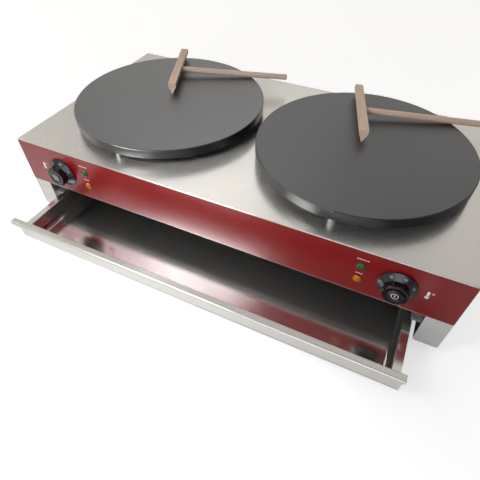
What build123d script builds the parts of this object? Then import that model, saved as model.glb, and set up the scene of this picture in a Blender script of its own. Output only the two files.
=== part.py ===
from build123d import *
from math import asin, cos, radians, sin, sqrt
import os

# Electric crepe maker: two cast iron plates on a stainless housing, a drawer on runners between
# two side boxes, and a wooden batter spreader on each plate. Millimetres, +X right, +Y back, +Z up.
# The origin is on the floor, in the middle of the whole object's footprint with the drawer
# drawn out as far as it rests.

os.makedirs("parts", exist_ok=True)

# ---------------------------------------------------------------- driving dimensions
# Housing
body_width = 870.0
body_depth = 464.0
housing_height = 101.0  # deck down to the lower edge of the front
leg_height = 71.0  # from there down to the underside of the side boxes
leg_width = 42.0
leg_corner_radius = 5.0
foot_height = 18.0
foot_radius = 12.5
foot_inset = 42.0  # foot centre behind the front and before the back
sheet = 1.2
bend_radius = 1.6  # inside of every fold of the housing sheets
deck_sheet = 2.0
deck_edge_radius = 1.3
deck_corner_radius = 3.0
flange_width = 12.0
front_fold_depth = 15.0
base_sheet = 1.0
fascia_thickness = 0.6
fascia_bottom_margin = 2.4
fascia_corner_radius = 3.0
fit_gap = 0.3  # between pieces that pass one another without touching

# Cast iron plates, their spacers and bolts
plate_diameter = 400.0
plate_thickness = 19.0
plate_skin = 9.5  # iron left over the pocket for the heater
plate_rim_width = 25.0
plate_edge_radius = 1.8
plate_gap = 14.0  # deck up to the underside of the plates
plate_spacing = 18.0  # between the rims of the two plates
plate_setback = 227.5  # plate centre behind the front
spacer_circle_radius = 187.0
spacer_radius = 8.2
spacers_per_plate = 3
bolt_radius = 4.0
bolt_head_across = 13.0
bolt_head_height = 5.3
bolt_engagement = 11.0
bolt_hole_clearance = 0.25

# Heaters, each one tube wound as a double spiral out of half circles
heater_height = 7.0
heater_top_width = 9.0
heater_bottom_width = 6.0
heater_spacing = 24.0
heater_inner_radius = 36.0
heater_half_turns = 5
heater_leg_radius = 3.2
heater_leg_length = 36.0  # below the cover
cover_thickness = 1.5
cover_clearance = 2.0  # cover edge to the pocket wall
cover_stud_radius = 3.0
conduit_radius = 22.0
conduit_wall = 1.5
conduit_drop = 14.0  # below the deck
conduit_flange_width = 5.0
conduit_flange_thickness = 2.0

# Controls
knob_inset = 100.5  # from each end of the front
knob_drop = 51.0  # below the deck
knob_skirt_radius = 30.5
knob_skirt_thickness = 2.2
knob_grip_radius = 20.5
knob_height = 22.5  # fascia to the face of the grip
knob_gap = 0.8  # fascia to the back of the skirt
knob_skirt_rise = 7.0  # height of the skirt's slope, which carries the dial
knob_grooves = 24
knob_groove_depth = 1.0
knob_edge = 1.5  # rounding of the face's edge
knob_wall = 2.5
knob_hub_radius = 6.5
spindle_radius = 3.0
spindle_flat = 0.8
spindle_clearance = 0.05
spindle_engagement = 14.0  # inside the knob
spindle_inside = 16.0  # inside the thermostat
thermostat_size = 40.0
thermostat_depth = 24.0
thermostat_neck_radius = 5.0
thermostat_nut_across = 14.0
thermostat_nut_height = 2.2
tab_length = 8.0
tab_width = 6.3
tab_thickness = 0.8
bulb_radius = 2.5
bulb_length = 50.0
bulb_offset = 22.0  # in front of the plate centre
capillary_radius = 1.0
capillary_bend = 12.0
capillary_tight_bend = 3.0
lamp_inset = 160.5  # from each end of the front
green_lamp_drop = 35.5
amber_lamp_drop = 66.5
lamp_radius = 7.4
lamp_height = 3.8
lamp_stem_radius = 4.6
lamp_hole_clearance = 0.2
holder_radius = 6.2
holder_length = 22.0

# Mains inlets at the back
gland_inset = 135.0  # from each end of the back
gland_drop = 60.0
gland_reach = 22.0
gland_across = 24.0
gland_hex_length = 6.0
gland_nose_radius = 10.0
gland_bore_radius = 4.5
gland_thread_radius = 9.8
locknut_across = 26.0
locknut_thickness = 4.0
terminal_block_size = (44.0, 22.0, 20.0)
terminal_poles = 3

# Drawer and its runners
drawer_open = 117.0  # how far it is drawn out at rest
drawer_front_gap = 7.5  # each end of the front to the wall of the bay
drawer_front_sheet = 1.2
drawer_front_return = 20.0  # folded back under the tray
drawer_front_drop = 106.5  # deck down to the top of the drawer's front
drawer_lip_depth = 12.0
drawer_lip_height = 9.0
drawer_lip_corner = 6.0
drawer_sheet = 1.0
drawer_flange_gap = 13.0  # each flange to the wall of the bay
drawer_flange_width = 14.5
drawer_flange_drop = 130.0  # deck down to the top of the side flanges
drawer_inner_depth = 34.5
drawer_bend_radius = 12.0  # outside of the bend between the tray's walls and floor
drawer_flange_radius = 2.0  # over the bend between walls and flanges
drawer_length = 415.0
runner_setback = 9.5  # behind the front
runner_sheet = 1.2
runner_lower_ledge = 20.0
runner_upper_ledge = 15.6
runner_play = 0.3  # under the flange
runner_headroom = 0.6  # over the flange
runner_back_gap = 12.0
drawer_stop_gap = 0.5

# Wooden spreaders
spreader_head_length = 180.0
spreader_head_width = 16.0
spreader_head_height = 24.0
spreader_shoulder = 9.0  # straight part of the head's sides
spreader_edge_width = 1.6
spreader_handle_length = 240.0
spreader_handle_radius = 6.0
spreader_handle_height = 15.0  # handle axis over the scraping edge
spreader_socket_depth = 10.0
spreader_lift = 0.25  # clear of the plate
spreader_left_x = -2.5  # front end of the scraping edge, from the plate centre
spreader_left_y = 12.5
spreader_left_angle = 112.0
spreader_right_x = -6.5
spreader_right_y = 5.5
spreader_right_angle = 107.0

# Screws, slots
screw_radius = 2.0
screw_head_radius = 3.8
screw_head_height = 2.2
screw_length = 8.0
screw_inset = 14.0
slot_length = 46.0
slot_width = 4.0
slot_pitch = 9.0

# ---------------------------------------------------------------- heights and depths
leg_bottom_z = foot_height
housing_bottom_z = leg_bottom_z + leg_height
deck_z = housing_bottom_z + housing_height
panel_top_z = deck_z - deck_sheet
base_z = housing_bottom_z + sheet  # the base plate lies on the front panel's fold
shelf_z = base_z + base_sheet  # and is screwed up against the side panels' flanges
plate_bottom_z = deck_z + plate_gap
plate_top_z = plate_bottom_z + plate_thickness

drawer_closed_face = runner_setback - drawer_stop_gap - drawer_front_sheet
front_reach = drawer_open + drawer_lip_depth - drawer_closed_face
front_y = (front_reach - gland_reach - body_depth) / 2
back_y = front_y + body_depth
middle_y = (front_y + back_y) / 2
panel_front_y = front_y + fascia_thickness
panel_back_y = panel_front_y + sheet
rear_panel_y = back_y - sheet
plate_y = front_y + plate_setback

bay_half_width = body_width / 2 - leg_width
bay_width = 2 * bay_half_width
leg_centre_x = body_width / 2 - leg_width / 2
sides = {"left": -1, "right": 1}
plate_pitch = plate_diameter + plate_spacing
plate_centres = {name: (side * plate_pitch / 2, plate_y) for name, side in sides.items()}
pieces = {}


def upright(y):
    """A plane that faces the front: local x is X, local y is Z, extruding a negative amount goes back."""
    return Plane.XZ.offset(-y)


def bolt_positions(radius=spacer_circle_radius):
    """The spacers' places round one plate, one of them straight in front."""
    return PolarLocations(radius, spacers_per_plate, start_angle=-90)


# ---------------------------------------------------------------- top deck
# One thick sheet with a rounded edge lies on the panels.
with BuildPart() as top_deck:
    with BuildSketch(Plane.XY.offset(panel_top_z)):
        with Locations((0, middle_y)):
            RectangleRounded(body_width, body_depth, deck_corner_radius)
    extrude(amount=deck_sheet)
    fillet(top_deck.faces().sort_by(Axis.Z)[-1].edges(), deck_edge_radius)
    with BuildSketch(Plane.XY.offset(deck_z)):
        for centre in plate_centres.values():
            with Locations(centre):
                with bolt_positions():
                    Circle(bolt_radius + bolt_hole_clearance)
                with Locations((heater_inner_radius, 0)):
                    Circle(conduit_radius + fit_gap)
    extrude(amount=-deck_sheet, mode=Mode.SUBTRACT)
pieces["top_deck"] = top_deck

# ---------------------------------------------------------------- front panel
# One sheet across the housing and both side boxes, cut out for the drawer, with a fold under the
# housing that stiffens the edge over the drawer.
knob_offset = body_width / 2 - knob_inset
lamp_offset = body_width / 2 - lamp_inset
control_centres = {name: (side * knob_offset, deck_z - knob_drop) for name, side in sides.items()}
lamp_centres = {
    (colour, name): (side * lamp_offset, deck_z - drop)
    for colour, drop in (("green", green_lamp_drop), ("amber", amber_lamp_drop))
    for name, side in sides.items()
}


def cut_control_holes():
    """Holes for the thermostat necks and the lamps, in a sketch on an upright plane."""
    with Locations(*control_centres.values()):
        Circle(thermostat_neck_radius + fit_gap, mode=Mode.SUBTRACT)
    with Locations(*lamp_centres.values()):
        Circle(lamp_stem_radius + lamp_hole_clearance, mode=Mode.SUBTRACT)


with BuildPart() as front_panel:
    with BuildSketch(upright(panel_front_y)) as front_outline:
        with Locations((0, (leg_bottom_z + panel_top_z) / 2)):
            Rectangle(body_width, panel_top_z - leg_bottom_z)
        with Locations((0, (leg_bottom_z + housing_bottom_z) / 2)):
            Rectangle(bay_width, leg_height, mode=Mode.SUBTRACT)
        fillet(front_outline.vertices().group_by(Axis.Y)[0], leg_corner_radius)
        cut_control_holes()
    extrude(amount=-sheet)
    with BuildSketch(Plane.XY.offset(housing_bottom_z)):
        with Locations((0, panel_front_y)):
            Rectangle(bay_width - 2 * bend_radius, front_fold_depth, align=(Align.CENTER, Align.MIN))
    extrude(amount=sheet)
    lower_fold = front_panel.edges().filter_by(Axis.X).filter_by_position(
        Axis.Z, housing_bottom_z, housing_bottom_z
    )
    fillet(lower_fold.sort_by(Axis.Y)[0], bend_radius)
pieces["front_panel"] = front_panel

# ---------------------------------------------------------------- front fascia
# A thin lacquered plate glued over the housing part of the front.
fascia_bottom_z = housing_bottom_z + fascia_bottom_margin
with BuildPart() as front_fascia:
    with BuildSketch(upright(front_y)):
        with Locations((0, (fascia_bottom_z + panel_top_z - fit_gap) / 2)):
            RectangleRounded(
                body_width - 2 * fit_gap, panel_top_z - fit_gap - fascia_bottom_z, fascia_corner_radius
            )
        cut_control_holes()
    extrude(amount=-fascia_thickness)
pieces["front_fascia"] = front_fascia

# ---------------------------------------------------------------- side panels
# Each is one folded sheet: a flange under the deck, the outer wall, the rounded underside of the
# side box, the inner wall beside the drawer and a flange that the base plate is screwed to.
with BuildPart() as side_panel_right:
    with BuildSketch(upright(panel_back_y)):
        with BuildLine():
            FilletPolyline(
                (body_width / 2 - flange_width, panel_top_z),
                (body_width / 2, panel_top_z),
                (body_width / 2, leg_bottom_z),
                (bay_half_width, leg_bottom_z),
                (bay_half_width, shelf_z),
                (bay_half_width - flange_width, shelf_z),
                radius=(bend_radius + sheet, leg_corner_radius, leg_corner_radius, bend_radius),
            )
            offset(amount=sheet, side=Side.RIGHT)
        make_face()
    extrude(amount=-(rear_panel_y - panel_back_y))
    with BuildSketch(Plane.XY.offset(leg_bottom_z)):
        with Locations((leg_centre_x, front_y + foot_inset), (leg_centre_x, back_y - foot_inset)):
            Circle(screw_radius + bolt_hole_clearance)
    extrude(amount=sheet, mode=Mode.SUBTRACT)
pieces["side_panel_right"] = side_panel_right

with BuildPart() as side_panel_left:
    mirror(side_panel_right.part, about=Plane.YZ)
pieces["side_panel_left"] = side_panel_left

# ---------------------------------------------------------------- back panel
# Closes the housing and the drawer bay, with slots to cool the controls.
gland_z = deck_z - gland_drop
gland_offset = body_width / 2 - gland_inset
slots_per_group = 5
slot_rows_z = deck_z - housing_height / 2
with BuildPart() as back_panel:
    with BuildSketch(upright(rear_panel_y)) as back_outline:
        with Locations((0, (leg_bottom_z + panel_top_z) / 2)):
            Rectangle(body_width, panel_top_z - leg_bottom_z)
        fillet(back_outline.vertices().group_by(Axis.Y)[0], leg_corner_radius)
        for side in sides.values():
            with Locations((side * gland_offset, gland_z)):
                Circle(gland_thread_radius + fit_gap, mode=Mode.SUBTRACT)
            with Locations((side * plate_pitch / 4, slot_rows_z)):
                with GridLocations(1.5 * slot_length, slot_pitch, 2, slots_per_group):
                    SlotOverall(slot_length, slot_width, mode=Mode.SUBTRACT)
    extrude(amount=-sheet)
pieces["back_panel"] = back_panel

# ---------------------------------------------------------------- base plate
# The floor of the housing and the ceiling over the drawer.
base_half_width = bay_half_width - bend_radius - fit_gap
base_depth = rear_panel_y - panel_back_y - 2 * fit_gap
with BuildPart() as base_plate:
    with BuildSketch(Plane.XY.offset(base_z)):
        with Locations((0, (panel_back_y + rear_panel_y) / 2)):
            Rectangle(2 * base_half_width, base_depth)
        for centre_x, centre_y in plate_centres.values():
            with Locations((centre_x, centre_y)):
                with GridLocations(1.5 * slot_length, 2 * slot_pitch, 3, slots_per_group):
                    Rectangle(slot_length, slot_width, mode=Mode.SUBTRACT)
    extrude(amount=base_sheet)
pieces["base_plate"] = base_plate

base_screw_x = bay_half_width - flange_width / 2
base_screw_rows = 3
with BuildPart() as base_screws:
    with BuildSketch(Plane.XY.offset(base_z)):
        with Locations((0, middle_y)):
            with GridLocations(2 * base_screw_x, body_depth / 2 - 2 * screw_inset, 2, base_screw_rows):
                Circle(screw_head_radius)
    extrude(amount=-screw_head_height)
    chamfer(base_screws.faces().group_by(Axis.Z)[0].edges(), screw_head_height / 2)
pieces["base_screws"] = base_screws

back_screw_z = (leg_bottom_z + 2 * leg_corner_radius, panel_top_z - screw_inset)
with BuildPart() as back_screws:
    with BuildSketch(upright(back_y)):
        for screw_z in back_screw_z:
            for side in sides.values():
                with Locations((side * leg_centre_x, screw_z)):
                    Circle(screw_head_radius)
    extrude(amount=-screw_head_height)
    chamfer(back_screws.faces().group_by(Axis.Y)[-1].edges(), screw_head_height / 2)
pieces["back_screws"] = back_screws

# ---------------------------------------------------------------- feet
foot_grid = (2 * leg_centre_x, body_depth - 2 * foot_inset)
foot_recess_radius = screw_head_radius + 1.2
foot_recess_depth = foot_height / 2
with BuildPart() as rubber_feet:
    with BuildSketch(Plane.XY.offset(leg_bottom_z)):
        with Locations((0, middle_y)):
            with GridLocations(*foot_grid, 2, 2):
                Circle(foot_radius)
    extrude(amount=-foot_height, taper=4)
    with BuildSketch(Plane.XY):
        with Locations((0, middle_y)):
            with GridLocations(*foot_grid, 2, 2):
                Circle(foot_recess_radius)
    extrude(amount=foot_recess_depth, mode=Mode.SUBTRACT)
    with BuildSketch(Plane.XY.offset(foot_recess_depth)):
        with Locations((0, middle_y)):
            with GridLocations(*foot_grid, 2, 2):
                Circle(screw_radius + bolt_hole_clearance)
    extrude(amount=foot_height, mode=Mode.SUBTRACT)
pieces["rubber_feet"] = rubber_feet

with BuildPart() as foot_screws:
    with BuildSketch(Plane.XY.offset(foot_recess_depth)):
        with Locations((0, middle_y)):
            with GridLocations(*foot_grid, 2, 2):
                Circle(screw_head_radius)
    extrude(amount=-screw_head_height)
    with BuildSketch(Plane.XY.offset(foot_recess_depth)):
        with Locations((0, middle_y)):
            with GridLocations(*foot_grid, 2, 2):
                Circle(screw_radius)
    extrude(amount=foot_height - foot_recess_depth + screw_length)
pieces["foot_screws"] = foot_screws

# ---------------------------------------------------------------- griddle plates
# A disc turned on its top and edge, with a pocket underneath for the heater. The thick rim takes
# the bolts.
plate_radius = plate_diameter / 2
pocket_radius = plate_radius - plate_rim_width
pocket_z = plate_top_z - plate_skin
for name, centre in plate_centres.items():
    with BuildPart() as griddle_plate:
        with BuildSketch(Plane.XY.offset(plate_bottom_z)):
            with Locations(centre):
                Circle(plate_radius)
        extrude(amount=plate_thickness)
        fillet(griddle_plate.faces().sort_by(Axis.Z)[-1].edges(), plate_edge_radius)
        chamfer(griddle_plate.faces().sort_by(Axis.Z)[0].edges(), plate_edge_radius / 2)
        with BuildSketch(Plane.XY.offset(plate_bottom_z)):
            with Locations(centre):
                Circle(pocket_radius)
        extrude(amount=pocket_z - plate_bottom_z, mode=Mode.SUBTRACT)
        with BuildSketch(Plane.XY.offset(plate_bottom_z)):
            with Locations(centre):
                with bolt_positions():
                    Circle(bolt_radius + bolt_hole_clearance)
        extrude(amount=bolt_engagement + bolt_hole_clearance, mode=Mode.SUBTRACT)
    pieces[f"griddle_plate_{name}"] = griddle_plate

with BuildPart() as plate_spacers:
    with BuildSketch(Plane.XY.offset(deck_z)):
        for centre in plate_centres.values():
            with Locations(centre):
                with bolt_positions():
                    Circle(spacer_radius)
                    Circle(bolt_radius + bolt_hole_clearance, mode=Mode.SUBTRACT)
    extrude(amount=plate_gap)
pieces["plate_spacers"] = plate_spacers

with BuildPart() as plate_bolts:
    with BuildSketch(Plane.XY.offset(panel_top_z)):
        for centre in plate_centres.values():
            with Locations(centre):
                with bolt_positions():
                    RegularPolygon(bolt_head_across / 2, 6, major_radius=False)
    extrude(amount=-bolt_head_height)
    with BuildSketch(Plane.XY.offset(panel_top_z)):
        for centre in plate_centres.values():
            with Locations(centre):
                with bolt_positions():
                    Circle(bolt_radius)
    extrude(amount=deck_sheet + plate_gap + bolt_engagement)
pieces["plate_bolts"] = plate_bolts

# ---------------------------------------------------------------- heaters
# A flattened tube wound out and back in half circles whose centres step from one side of the
# plate centre to the other, so that the turns stay evenly spaced. Both ends stay by the middle,
# where legs go down through the conduit.
heater_bottom_z = pocket_z - heater_height
half_step = heater_spacing / 2
inner_end = heater_inner_radius - half_step
outer_end = inner_end + heater_spacing
leg_bottom = heater_bottom_z - cover_thickness - heater_leg_length
for name, (centre_x, centre_y) in plate_centres.items():
    with BuildPart() as heater:
        with BuildLine(Plane((centre_x, centre_y, heater_bottom_z))):
            for strand in range(2):
                for turn in range(heater_half_turns):
                    upper = turn % 2 == 0
                    CenterArc(
                        (-half_step if upper else half_step, 0),
                        heater_inner_radius + (strand + turn) * heater_spacing,
                        0 if upper else 180,
                        180,
                    )
            end_radius = heater_inner_radius + (heater_half_turns - 0.5) * heater_spacing
            last_upper = heater_half_turns % 2 == 1
            CenterArc(
                (-half_step - end_radius if last_upper else half_step + end_radius, 0),
                half_step,
                0 if last_upper else 180,
                -180,
            )
        start = Plane(
            (centre_x + inner_end, centre_y, heater_bottom_z), x_dir=(1, 0, 0), z_dir=(0, -1, 0)
        )
        with BuildSketch(start):
            with BuildLine():
                Polyline(
                    (-heater_bottom_width / 2, 0),
                    (heater_bottom_width / 2, 0),
                    (heater_top_width / 2, heater_height),
                    (-heater_top_width / 2, heater_height),
                    close=True,
                )
            make_face()
        sweep()
        with BuildSketch(Plane.XY.offset(leg_bottom)):
            with Locations((centre_x + inner_end, centre_y), (centre_x + outer_end, centre_y)):
                Circle(heater_leg_radius)
        extrude(amount=pocket_z - leg_bottom)
    pieces[f"heater_{name}"] = heater

# Covers press the heaters up against the plates. Each hangs on a stud in the middle of its plate
# and has a hole over the conduit for the heater's legs and the capillary.
cover_top_z = heater_bottom_z
cover_bottom_z = cover_top_z - cover_thickness
cover_radius = pocket_radius - cover_clearance
conduit_inner_radius = conduit_radius - conduit_wall
stud_head_radius = 2 * cover_stud_radius
stud_head_height = 1.2
for name, centre in plate_centres.items():
    with BuildPart() as heater_cover:
        with BuildSketch(Plane.XY.offset(cover_bottom_z)):
            with Locations(centre):
                Circle(cover_radius)
                Circle(cover_stud_radius + fit_gap, mode=Mode.SUBTRACT)
                with Locations((heater_inner_radius, 0)):
                    Circle(conduit_inner_radius, mode=Mode.SUBTRACT)
        extrude(amount=cover_thickness)
    pieces[f"heater_cover_{name}"] = heater_cover

with BuildPart() as cover_studs:
    with BuildSketch(Plane.XY.offset(cover_bottom_z)):
        with Locations(*plate_centres.values()):
            Circle(stud_head_radius)
    extrude(amount=-stud_head_height)
    with BuildSketch(Plane.XY.offset(cover_bottom_z)):
        with Locations(*plate_centres.values()):
            Circle(cover_stud_radius)
    extrude(amount=pocket_z - cover_bottom_z)
pieces["cover_studs"] = cover_studs

# Conduits keep spills out of the holes in the deck. Each hangs from its cover through the deck
# and is held by a flange underneath.
conduit_bottom_z = deck_z - conduit_drop
for name, (centre_x, centre_y) in plate_centres.items():
    with BuildPart() as conduit:
        with BuildSketch(Plane((centre_x + heater_inner_radius, centre_y, 0), x_dir=(1, 0, 0), z_dir=(0, -1, 0))):
            with BuildLine():
                Polyline(
                    (conduit_inner_radius, conduit_bottom_z),
                    (conduit_radius, conduit_bottom_z),
                    (conduit_radius, panel_top_z - conduit_flange_thickness),
                    (conduit_radius + conduit_flange_width, panel_top_z - conduit_flange_thickness),
                    (conduit_radius + conduit_flange_width, panel_top_z),
                    (conduit_radius, panel_top_z),
                    (conduit_radius, cover_bottom_z),
                    (conduit_inner_radius, cover_bottom_z),
                    close=True,
                )
            make_face()
        revolve(axis=Axis((centre_x + heater_inner_radius, centre_y, 0), (0, 0, 1)))
    pieces[f"conduit_{name}"] = conduit

# ---------------------------------------------------------------- thermostats and knobs
# The thermostat sits behind the panel with its neck through it and a nut in front. The spindle
# turns in the neck and carries the knob.
knob_back = knob_gap
knob_face = knob_height
knob_skirt_top = knob_back + knob_skirt_thickness + knob_skirt_rise
spindle_inner = fascia_thickness + sheet + spindle_inside
for name, side in sides.items():
    control_x, control_z = control_centres[name]
    # Local z of this plane points out of the front, from the face of the fascia.
    control = Plane((control_x, front_y, control_z), x_dir=(1, 0, 0), z_dir=(0, -1, 0))

    with BuildPart() as thermostat:
        with BuildSketch(control.offset(-fascia_thickness - sheet)):
            RectangleRounded(thermostat_size, thermostat_size, 2 * bend_radius)
        extrude(amount=-thermostat_depth)
        with BuildSketch(control.offset(-fascia_thickness - sheet)):
            Circle(thermostat_neck_radius)
        extrude(amount=fascia_thickness + sheet + thermostat_nut_height)
        with BuildSketch(control.offset(-fascia_thickness - sheet - thermostat_depth)):
            with GridLocations(thermostat_size / 2, thermostat_size / 3, 2, 2):
                Rectangle(tab_width, tab_thickness)
        extrude(amount=-tab_length)
        with BuildSketch(control.offset(-spindle_inner - fit_gap)):
            Circle(spindle_radius + spindle_clearance)
        extrude(amount=spindle_inner + thermostat_nut_height + fit_gap, mode=Mode.SUBTRACT)
    pieces[f"thermostat_{name}"] = thermostat

    with BuildPart() as spindle:
        with BuildSketch(control.offset(-spindle_inner)):
            Circle(spindle_radius)
        extrude(amount=spindle_inner + knob_face - knob_wall)
        with BuildSketch(control.offset(knob_face - knob_wall - spindle_engagement)):
            with Locations((0, spindle_radius - spindle_flat)):
                Rectangle(2 * spindle_radius, 2 * spindle_flat, align=(Align.CENTER, Align.MIN))
        extrude(amount=spindle_engagement, mode=Mode.SUBTRACT)
    pieces[f"spindle_{name}"] = spindle

    with BuildPart() as knob:
        with BuildSketch(Plane(control.origin, x_dir=(1, 0, 0), z_dir=(0, 0, 1))):
            with BuildLine():
                outline = Polyline(
                    (0, -knob_face),
                    (knob_grip_radius - 2 * knob_edge, -knob_face),
                    (knob_grip_radius - knob_edge / 2, -knob_face + knob_edge / 2),
                    (knob_grip_radius, -knob_face + 2 * knob_edge),
                    (knob_grip_radius, -knob_skirt_top),
                    (knob_skirt_radius, -knob_back - knob_skirt_thickness),
                    (knob_skirt_radius, -knob_back),
                    (knob_skirt_radius - knob_wall, -knob_back),
                    (knob_grip_radius - knob_wall, -knob_skirt_top + knob_wall),
                    (knob_grip_radius - knob_wall, -knob_face + 2 * knob_wall),
                    (0, -knob_face + 2 * knob_wall),
                    close=True,
                )
            make_face()
        revolve(axis=Axis(control.origin, (0, -1, 0)))
        with BuildSketch(control.offset(knob_face)):
            with PolarLocations(knob_grip_radius, knob_grooves):
                RegularPolygon(knob_groove_depth, 4)
        extrude(amount=-(knob_face - knob_skirt_top - knob_groove_depth), mode=Mode.SUBTRACT)
        hub_length = knob_face - 2 * knob_wall - knob_back - thermostat_nut_height
        with BuildSketch(control.offset(knob_face - 2 * knob_wall - hub_length)):
            Circle(knob_hub_radius)
        extrude(amount=hub_length + knob_wall)
        with BuildSketch(control.offset(knob_face - knob_wall)):
            Circle(spindle_radius + spindle_clearance)
            with Locations((0, spindle_radius - spindle_flat + spindle_clearance)):
                Rectangle(
                    2 * spindle_radius, 2 * spindle_flat, align=(Align.CENTER, Align.MIN), mode=Mode.SUBTRACT
                )
        extrude(amount=-spindle_engagement, mode=Mode.SUBTRACT)
        with BuildSketch(control.offset(knob_face - knob_wall - spindle_engagement)):
            Circle(spindle_radius + spindle_clearance)
        extrude(amount=-(hub_length + knob_wall - spindle_engagement), mode=Mode.SUBTRACT)
    pieces[f"knob_{name}"] = knob

with BuildPart() as thermostat_nuts:
    with BuildSketch(upright(front_y)):
        with Locations(*control_centres.values()):
            RegularPolygon(thermostat_nut_across / 2, 6, major_radius=False)
            Circle(thermostat_neck_radius + spindle_clearance, mode=Mode.SUBTRACT)
    extrude(amount=thermostat_nut_height)
pieces["thermostat_nuts"] = thermostat_nuts

# ---------------------------------------------------------------- indicator lamps
# Lens and stem are one moulding that passes through the panel into its holder.
lamp_stem_length = fascia_thickness + sheet + holder_length / 3
for (colour, name), (lamp_x, lamp_z) in lamp_centres.items():
    with BuildPart() as lamp:
        with BuildSketch(Plane((lamp_x, front_y, lamp_z), x_dir=(1, 0, 0), z_dir=(0, 0, 1))):
            with BuildLine():
                Polyline(
                    (0, lamp_stem_length),
                    (lamp_stem_radius, lamp_stem_length),
                    (lamp_stem_radius, 0),
                    (lamp_radius, 0),
                    (lamp_radius, -lamp_height / 4),
                    (0.8 * lamp_radius, -0.7 * lamp_height),
                    (lamp_radius / 2, -lamp_height),
                    (0, -lamp_height),
                    close=True,
                )
            make_face()
        revolve(axis=Axis((lamp_x, front_y, lamp_z), (0, -1, 0)))
    pieces[f"{colour}_lamp_{name}"] = lamp

with BuildPart() as lamp_holders:
    with BuildSketch(upright(panel_back_y)):
        with Locations(*lamp_centres.values()):
            Circle(holder_radius)
    extrude(amount=-holder_length)
    with BuildSketch(upright(panel_back_y)):
        with Locations(*lamp_centres.values()):
            Circle(lamp_stem_radius + lamp_hole_clearance)
    extrude(amount=-(lamp_stem_length - fascia_thickness - sheet), mode=Mode.SUBTRACT)
    with BuildSketch(upright(panel_back_y + holder_length)):
        with Locations(*lamp_centres.values()):
            with GridLocations(holder_radius, 0, 2, 1):
                Rectangle(tab_thickness, tab_width)
    extrude(amount=-tab_length)
pieces["lamp_holders"] = lamp_holders

# ---------------------------------------------------------------- temperature sensors
# A bulb against the iron in the middle of each plate, and the capillary that joins it to the
# thermostat: out of the bulb, down the conduit, and forward to the back of the thermostat.
bulb_z = pocket_z - bulb_radius
capillary_level = deck_z - housing_height / 2
for name, (centre_x, centre_y) in plate_centres.items():
    control_x, control_z = control_centres[name]
    bulb_end_x = centre_x - heater_spacing + bulb_length
    bulb_y = centre_y - bulb_offset
    drop_x = centre_x + heater_inner_radius
    thermostat_back_y = panel_back_y + thermostat_depth
    entry_x = control_x + thermostat_size / 6
    with BuildPart() as sensor:
        with BuildSketch(Plane((bulb_end_x, bulb_y, bulb_z), x_dir=(0, 1, 0), z_dir=(1, 0, 0))):
            Circle(bulb_radius)
        extrude(amount=-bulb_length)
        with BuildLine() as route:
            FilletPolyline(
                (bulb_end_x, bulb_y, bulb_z),
                (drop_x, bulb_y, bulb_z),
                (drop_x, bulb_y + bulb_offset / 3, bulb_z - bulb_offset / 3),
                (drop_x, bulb_y + bulb_offset / 3, capillary_level),
                (entry_x, bulb_y + bulb_offset / 3, capillary_level),
                (entry_x, thermostat_back_y, capillary_level),
                radius=(capillary_tight_bend, capillary_tight_bend, capillary_bend, capillary_bend),
            )
        with BuildSketch(Plane((bulb_end_x, bulb_y, bulb_z), x_dir=(0, 1, 0), z_dir=(1, 0, 0))):
            Circle(capillary_radius)
        sweep(path=route.line)
    pieces[f"sensor_{name}"] = sensor

# ---------------------------------------------------------------- mains inlets
# One gland for each plate's lead, with its locknut inside the back panel and a terminal block on
# the base plate behind it.
with BuildPart() as cable_glands:
    for side in sides.values():
        inlet = Plane((side * gland_offset, back_y, gland_z), x_dir=(-1, 0, 0), z_dir=(0, 1, 0))
        with BuildSketch(inlet.offset(-sheet - locknut_thickness)):
            Circle(gland_thread_radius)
        extrude(amount=sheet + locknut_thickness)
        with BuildSketch(inlet):
            RegularPolygon(gland_across / 2, 6, major_radius=False)
        extrude(amount=gland_hex_length)
        with BuildSketch(inlet.offset(gland_hex_length)):
            Circle(gland_nose_radius)
        extrude(amount=gland_reach - gland_hex_length, taper=8)
        with BuildSketch(inlet.offset(gland_reach)):
            Circle(gland_bore_radius)
        extrude(amount=-(gland_reach + sheet + locknut_thickness), mode=Mode.SUBTRACT)
pieces["cable_glands"] = cable_glands

with BuildPart() as gland_locknuts:
    with BuildSketch(upright(rear_panel_y)):
        with Locations((-gland_offset, gland_z), (gland_offset, gland_z)):
            RegularPolygon(locknut_across / 2, 6, major_radius=False)
            Circle(gland_thread_radius + spindle_clearance, mode=Mode.SUBTRACT)
    extrude(amount=locknut_thickness)
pieces["gland_locknuts"] = gland_locknuts

block_width, block_depth, block_height = terminal_block_size
block_y = rear_panel_y - 3 * block_depth
for name, side in sides.items():
    with BuildPart() as terminal_block:
        with BuildSketch(Plane.XY.offset(shelf_z)):
            with Locations((side * gland_offset, block_y)):
                RectangleRounded(block_width, block_depth, bend_radius)
        extrude(amount=block_height)
        with BuildSketch(Plane.XY.offset(shelf_z + block_height)):
            with Locations((side * gland_offset, block_y)):
                with GridLocations(block_width / terminal_poles, block_depth / 2, terminal_poles, 2):
                    Circle(screw_radius)
        extrude(amount=-block_height / 2, mode=Mode.SUBTRACT)
    pieces[f"terminal_block_{name}"] = terminal_block

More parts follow.
